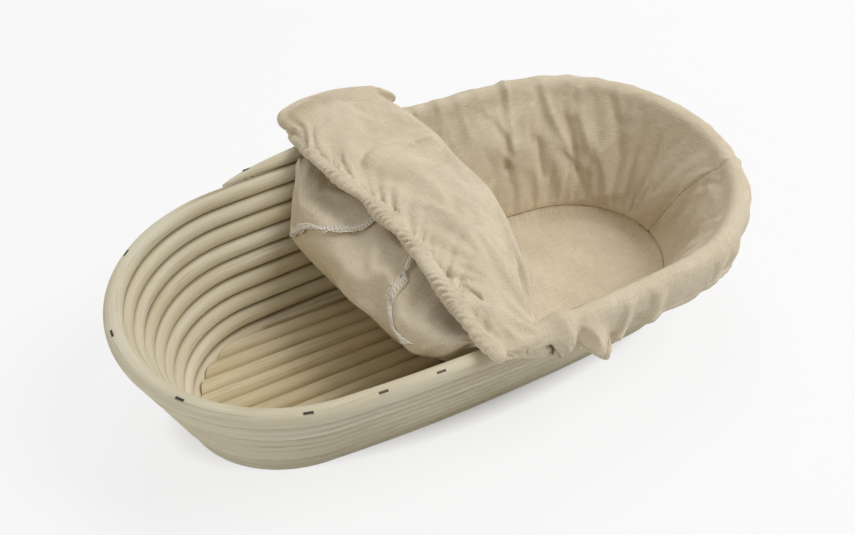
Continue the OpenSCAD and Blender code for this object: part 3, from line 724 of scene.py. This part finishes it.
# Spun cotton thread, whiter than the cloth and matte: its plies show as slight changes of tone,
# and it is drawn thicker than real thread so that the stitches show
TAIL_R, THREAD_R, PLY = 0.34 * MM, 0.32 * MM, 0.8 * MM
thread, shader = new_material("spun cotton sewing thread")
shader.inputs["Roughness"].default_value = 0.8
twist = add(thread, "TexNoise", {"Vector": add(thread, "TexCoord").outputs["Object"], "Scale": 1 / PLY})
ply = add(thread, "MixRGB", {"Fac": twist.outputs["Fac"], "Color1": linear("#ece3cf"),
                             "Color2": linear("#fbf6ea")})
thread.node_tree.links.new(ply.outputs[0], shader.inputs["Base Color"])


def thread_tubes(lines, radius):
    """Thin round threads of five sides along lines of points, closed at their ends."""
    bm = bmesh.new()
    for line in lines:
        line = np.array(line)
        ahead = np.gradient(line, axis=0)
        ahead /= np.linalg.norm(ahead, axis=1)[:, None]
        side = np.cross(ahead, [0.3, 0.4, 0.87])
        side /= np.linalg.norm(side, axis=1)[:, None]
        up = np.cross(side, ahead)
        turn = np.linspace(0, 2 * math.pi, 6)[None, :, None]
        about = side[:, None] * np.cos(turn) + up[:, None] * np.sin(turn)
        sheet_mesh(bm, line[:, None] + radius * about)
    bmesh.ops.remove_doubles(bm, verts=bm.verts, dist=1e-6)
    bmesh.ops.holes_fill(bm, edges=[e for e in bm.edges if e.is_boundary], sides=0)
    bmesh.ops.recalc_face_normals(bm, faces=bm.faces)
    return bm


FACE_COL, SEAM_STEPS, ALLOWANCE_W, STITCH = 34, 60, 8 * MM, 2.4 * MM


def overlock(name, edge, across, lifts, node):
    """The overlocked allowance whose free edge runs through the points edge, in mm, and which lies
    across rows to one side of it, lifted off the layer by lifts, in mm, from that edge inwards."""
    spots = []
    for place in edge:
        far = np.linalg.norm(lower[:, FACE_COL:] - np.array(place) * MM, axis=2)
        spots.append(np.unravel_index(np.argmin(far), far.shape))
    spots = curve_through(np.array(spots, float) + (0, FACE_COL), SEAM_STEPS)
    strip = []
    for row, col in spots:
        two_rows = lower[min(int(row) + 1, LOWER_ROWS - 1), int(col)] - lower[int(row) - 1, int(col)]
        rows_per_m = 1 / np.linalg.norm(two_rows) * 2
        line = []
        for k, lift in zip(np.linspace(0, 1, 6), lifts):
            at = row + across * k * ALLOWANCE_W * rows_per_m
            line.append(on_grid(lower, at, col) + on_grid(lower_face, at, col) * lift * MM)
        strip.append(line)
    strip = np.array(strip)
    strip[:, 0] += 0.3 * MM * waver(np.arange(SEAM_STEPS) * 0.9, 17)[:, None]
    allowance = cloth_piece(name, strip, cut_places(strip), node, cotton)
    length = np.linalg.norm(np.diff(strip[:, 0], axis=0), axis=1).sum()
    steps = int(length / STITCH)
    above = grid_normals(strip)
    above *= np.sign((above * on_grid(lower_face, *spots[SEAM_STEPS // 2])).sum(axis=2).mean())
    # One thread zigzags across the allowance, and one runs along each side of it
    rows_along = np.linspace(1, SEAM_STEPS - 2, 6 * steps + 1)
    to_and_fro = 2.1 + 2.0 * np.interp(np.arange(6 * steps + 1) % 6, (0, 3, 6), (-1, 1, -1))
    zigzag = [on_grid(strip, at, col) + 0.45 * MM * on_grid(above, at, col)
              for at, col in zip(rows_along, to_and_fro)]
    edges = [[on_grid(strip, at, col) + high * MM * on_grid(above, at, col) for at in rows_along]
             for col, high in ((0.05, 0.2), (4.1, 0.4))]
    bm = thread_tubes([zigzag, *edges], THREAD_R)
    stitches = piece(name + "_stitches", bm, "liner", thread)
    return [allowance, stitches]


BACK_SEAM = [(-63, 58.6, 52.8), (-60.5, 54.5, 59.8), (-57.8, 50, 64.6), (-54, 42.4, 69.5),
             (-50.5, 33, 72), (-44.7, 25.4, 75), (-35, 19.5, 79), (-28, 19.5, 81)]
FRONT_SEAM = [(-32, -19.5, 77.2), (-39, -22.5, 75.5), (-43, -23.5, 73.2), (-45, -26, 70.9),
              (-47.6, -31, 67.6), (-49.8, -36, 64), (-50.3, -44.5, 63.5), (-50.8, -52, 62.3)]
seams = overlock("overlock_back", BACK_SEAM, 1, (2.3, 2.0, 1.6, 1.3, 1.1, 0.6), "seam_allowance_back")
seams += overlock("overlock_front", FRONT_SEAM, -1, (1.5, 1.35, 1.15, 0.95, 0.75, 0.3),
                  "seam_allowance_front")
# The front seam's threads run out in a loose tuft under the hem, from row and column to row and column
TAILS, TUFT_FROM, TUFT_TO, TUFT_LIFT = 18, (34, 60.4), (31.2, 56), 2.8
draw = np.random.default_rng(8)
tails = []
for _ in range(TAILS):
    row, col = TUFT_FROM + draw.uniform(-0.5, 0.5, 2)
    row_out, col_out = TUFT_TO + draw.uniform(-1.3, 1.3, 2)
    arch = draw.uniform(0.6, 2.2)
    tails.append([on_grid(lower, row + (row_out - row) * gone, col + (col_out - col) * gone)
                  + on_grid(lower_face, row, col) * (TUFT_LIFT + arch * math.sin(math.pi * gone)) * MM
                  for gone in np.linspace(0, 1, 7)])
tuft = piece("overlock_tail", thread_tubes(tails, TAIL_R), "liner", thread)
seams.append(tuft)


# Folded half, upper layer: the end of the liner laid back over the lower layer.  Its right edge is
# a soft fold, its front end hangs over the front rim, and its back end stands up in a pouch.  Points
# and the rise between hem and fold are in mm, from front to back, then down the back of the pouch.
RIGHT = [(9, -95, 63), (7, -95.5, 71), (6, -86, 81), (21, -57, 84), (26, -31, 86), (34, 5, 87),
         (33, 35, 88), (35, 65, 88), (30, 86, 90), (21, 98, 92)]
RISE = [0, 1.5, 3, 4, 5, 5, 3, 5, 7, 10]
POUCH = [[(-38, 102, 88), (-44, 104, 98), (-39, 105, 106), (-14, 105, 107), (12, 105, 101),
          (26, 104, 96), (24, 103, 91), (14, 102, 91), (4, 101, 91)],
         [(-34, 107, 84), (-42, 110, 94), (-37, 111, 102), (-13, 111, 102), (9, 110, 97),
          (20, 109, 92), (18, 107, 89), (10, 105, 88), (2, 104, 88)],
         [(-28, 109, 79), (-38, 113, 88), (-34, 115, 95), (-12, 115, 95), (2, 114, 91),
          (9, 111, 86), (7, 108, 83), (3, 106, 82), (-2, 105, 82)],
         [(-20, 108, 75), (-26, 110, 78), (-24, 111, 79), (-10, 112, 79), (-2, 111, 78),
          (2, 109, 76), (1, 107, 75), (-2, 106, 75), (-6, 105, 75)]]
upper_rows = []
for hem_point, right_point, rise in zip(HEM, RIGHT, RISE):
    across = np.array(right_point) - hem_point
    at = [np.array(hem_point) + across * k for k in (0, 0.08, 0.25, 0.5, 0.8, 1)]
    row = [at[0], at[1] + (-0.3 * rise, 0, rise * 0.5), at[2] + (0, 0, rise * 0.85),
           at[3] + (0, 0, rise), at[4] + (0, 0, rise * 0.7), at[5]]
    # The right edge turns under, and at the front end the turned part lies behind the hanging edge
    hangs = 1 - smooth((hem_point[1] + 98) / 10)
    for turned, share in (((-2, 0, -3.5), 0.08), ((-12, 0, -5), 0.4), ((-22, 0, -6), 0.7)):
        behind = share * (at[0] - at[5]) + (0, 3.5, -1.5)
        row.append(at[5] + (1 - hangs) * np.array(turned) + hangs * behind)
    upper_rows.append(row)
upper_rows += POUCH
NET_ROWS, NET_COLS = 110, 56
upper = cloth_net(upper_rows, NET_ROWS, NET_COLS)
# A ridge crosses it near the back, with a hollow before it, and it swells and sinks elsewhere: x, y,
# width and height in mm
SWELLS = [(20, 46, 11, -5), (-9, 26, 13, 2.5), (5, 2, 14, 1.5), (-6, -32, 12, -2.5),
          (-14, 74, 9, -2), (14, -50, 12, 2), (4, -68, 8, -1.5), (-24, 88, 7, -1.5)]
ux, uy = upper[..., 0] / MM, upper[..., 1] / MM
on_ridge = np.clip((ux + 20) / 51, 0, 1)
swell = 4.2 * np.exp(-((uy - 52 - 10 * on_ridge) / 5) ** 2) * smooth((ux + 26) / 14)
for swell_x, swell_y, width, height in SWELLS:
    swell += height * np.exp(-((ux - swell_x) ** 2 + (uy - swell_y) ** 2) / width ** 2)
from_hem = np.linspace(0, 1, NET_COLS)
swell *= smooth((0.74 - from_hem) / 0.08)[None, :] * smooth(from_hem / 0.12)[None, :]
upper[..., 2] += swell * MM
upper_hold = np.zeros(upper.shape[:2])
upper_hold[:, 0] = upper_hold[:, -1] = upper_hold[0] = upper_hold[-1] = 1
upper = settle(upper, upper_hold, 0.035, 20, basket_skin)
# Gathers run in from the hem: sharp ones that die out soon, and soft ones that reach further
HEM_PLEATS, HEM_SEED, UPPER_ROWS = 4.6 * MM, 31, 340
SHARP_REACH, SOFT_REACH = 5 * MM, 16 * MM
upper = np.stack([curve_through(upper[:, k], UPPER_ROWS) for k in range(upper.shape[1])], axis=1)
upper_cut = cut_places(upper)
hem_run = np.linspace(0, np.linalg.norm(np.diff(upper[:, 0], axis=0), axis=1).sum(), UPPER_ROWS)
sharp, soft = pleats(hem_run, HEM_SEED, HEM_PLEATS), waver(hem_run / MM * 0.33, 33)
gather = np.stack(
    [2.0 * np.interp(hem_run - 0.3 * far.mean(), hem_run, sharp) * np.exp(-far / SHARP_REACH)
     + 1.1 * np.interp(hem_run - 0.8 * far.mean(), hem_run, soft) * np.exp(-far / SOFT_REACH)
     for far in upper_cut[..., 0].T], axis=1)
upper += grid_normals(upper) * (MM * gather)[..., None]
upper_layer = cloth_piece("fold_upper_layer", upper, upper_cut, "liner_fold_top", cotton, rounded=False)


# Fold hem: the upper layer's free edge, turned over its elastic and gathered like the skirt's.  It
# lies across the basket like a loose rope and runs down behind the pouch.
hem_line = np.array(HEM + [row[0] for row in POUCH], float) * MM
gathered_hem("fold_gathered_hem", hem_line, 4.2 * MM, 2.8 * MM, HEM_PLEATS, 0.44, HEM_SEED,
             ("fold_hem", "fold_elastic"))


# Studio: a white floor that keeps the basket's soft shadow, a large main lamp high at the right, a
# weak low lamp at the left, a lamp overhead behind, and the photograph's viewing angle.
floor_bm = bmesh.new()
bmesh.ops.create_grid(floor_bm, x_segments=1, y_segments=1, size=6)
floor_mesh = bpy.data.meshes.new("studio_floor")
floor_bm.to_mesh(floor_mesh)
floor_bm.free()
studio_floor = bpy.data.objects.new("studio_floor", floor_mesh)
bpy.context.scene.collection.objects.link(studio_floor)
floor_paint, shader = new_material("white studio paper")
shader.inputs["Base Color"].default_value = linear("#f4f4f4")
shader.inputs["Roughness"].default_value = 0.9
lit = add(floor_paint, "Emission", {"Color": (1, 1, 1, 1), "Strength": 1.0})
seen = add(floor_paint, "LightPath")
# Under the basket the paper is in shade, so the gaps between the floor canes stay dark
footprint = add(floor_paint, "Mapping", {"Vector": add(floor_paint, "TexCoord").outputs["Object"],
                                         "Scale": (1 / (150 * MM), 1 / (64 * MM), 0)})
away = add(floor_paint, "VectorMath", {0: footprint.outputs[0]}, operation="LENGTH")
open_paper = add(floor_paint, "MapRange", {"Value": away.outputs["Value"], 1: 0.8, 2: 1.1,
                                           3: 0.0, 4: 0.8})
white = add(floor_paint, "Math", {0: seen.outputs["Is Camera Ray"], 1: open_paper.outputs[0]},
            operation="MULTIPLY")
paper = add(floor_paint, "MixShader", {0: white.outputs[0], 1: shader.outputs[0], 2: lit.outputs[0]})
surface = floor_paint.node_tree.nodes["Material Output"].inputs["Surface"]
floor_paint.node_tree.links.new(paper.outputs[0], surface)
floor_mesh.materials.append(floor_paint)

# The sky is white to look at, and lights the object only a little
world = bpy.data.worlds.new("studio")
bpy.context.scene.world = world
world.use_nodes = True
seen = add(world, "LightPath")
direct = add(world, "Math", {0: seen.outputs["Is Camera Ray"], 1: seen.outputs["Is Glossy Ray"]},
             operation="MAXIMUM")
direct = add(world, "Math", {0: direct.outputs[0], 1: seen.outputs["Is Transmission Ray"]},
             operation="MAXIMUM")
strength = add(world, "MapRange", {"Value": direct.outputs[0], 3: 0.25, 4: 1.0})
sky = world.node_tree.nodes["Background"]
sky.inputs["Color"].default_value = (1, 1, 1, 1)
world.node_tree.links.new(strength.outputs[0], sky.inputs["Strength"])


def lamp(name, place, aim, size, power):
    """A round area lamp at place, in metres, turned to aim."""
    light = bpy.data.lights.new(name, "AREA")
    light.shape, light.size, light.energy = "DISK", size, power
    obj = bpy.data.objects.new(name, light)
    bpy.context.scene.collection.objects.link(obj)
    obj.location = place
    obj.rotation_euler = (Vector(aim) - Vector(place)).to_track_quat("-Z", "Y").to_euler()


BASKET_MIDDLE = (0, 0, 0.05)
lamp("main lamp", (0.9, -0.5, 1.3), BASKET_MIDDLE, 0.9, 13.5)
lamp("left lamp", (-1.3, -0.1, 0.4), BASKET_MIDDLE, 0.8, 3.4)
lamp("overhead lamp", (0.3, 0.7, 1.35), BASKET_MIDDLE, 0.9, 5)

PHOTO_W, FOCAL_PX, SENSOR_W = 855, 1105.3, 36
AZIMUTH, ELEVATION = math.radians(-28.785), math.radians(41.646)
DISTANCE, AIM = 682.4 * MM, Vector((20.92 * MM, 53.67 * MM, 0))
back = Vector((math.sin(AZIMUTH) * math.cos(ELEVATION), -math.cos(AZIMUTH) * math.cos(ELEVATION),
               math.sin(ELEVATION)))
camera = bpy.data.cameras.new("camera")
camera.sensor_width = SENSOR_W
camera.lens = FOCAL_PX / PHOTO_W * SENSOR_W
camera.clip_start, camera.clip_end = 0.01, 20
camera_obj = bpy.data.objects.new("camera", camera)
bpy.context.scene.collection.objects.link(camera_obj)
camera_obj.location = AIM + back * DISTANCE
camera_obj.rotation_euler = back.to_track_quat("Z", "Y").to_euler()
bpy.context.scene.camera = camera_obj
bpy.context.scene.view_settings.view_transform = "Standard"
